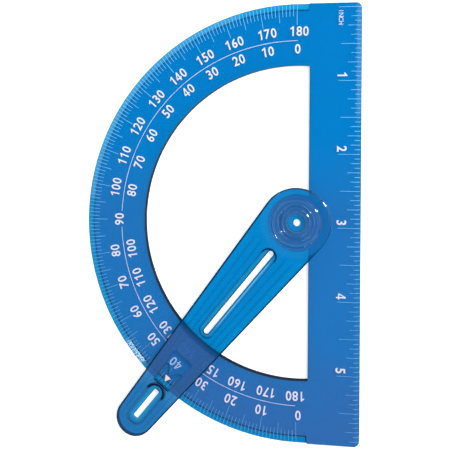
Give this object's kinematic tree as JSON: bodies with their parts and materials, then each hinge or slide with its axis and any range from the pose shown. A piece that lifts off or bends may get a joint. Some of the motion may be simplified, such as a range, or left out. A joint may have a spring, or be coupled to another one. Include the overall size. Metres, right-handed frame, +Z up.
{
  "type": "goniometer",
  "caption": "Half-circle translucent blue plastic goniometer with a degree arc, a straight ruler edge and a slotted arm that turns on a central hollow rivet.",
  "frame": {"origin": "middle of the whole object's box in plan, on the plate's underside", "axes": "+X from the arc towards the ruler edge, +Y along the ruler towards its zero, +Z up out of the printed face"},
  "size_m": [0.0982, 0.1532, 0.0043],
  "materials": {
    "plate_blue": "translucent gloss",
    "arm_blue": "translucent gloss",
    "rivet_blue": "translucent gloss"
  },
  "bodies": {
    "plate": {"protractor_body": "plate_blue", "pivot_rivet": "rivet_blue"},
    "arm": {"swing_arm": "arm_blue"}
  },
  "joints": [
    {"name": "arm_swing", "type": "hinge", "parent": "plate", "child": "arm", "pos_m": [0.0271, 0.00044, 0.0023], "axis": [0, 0, 1], "continuous": true}
  ]
}
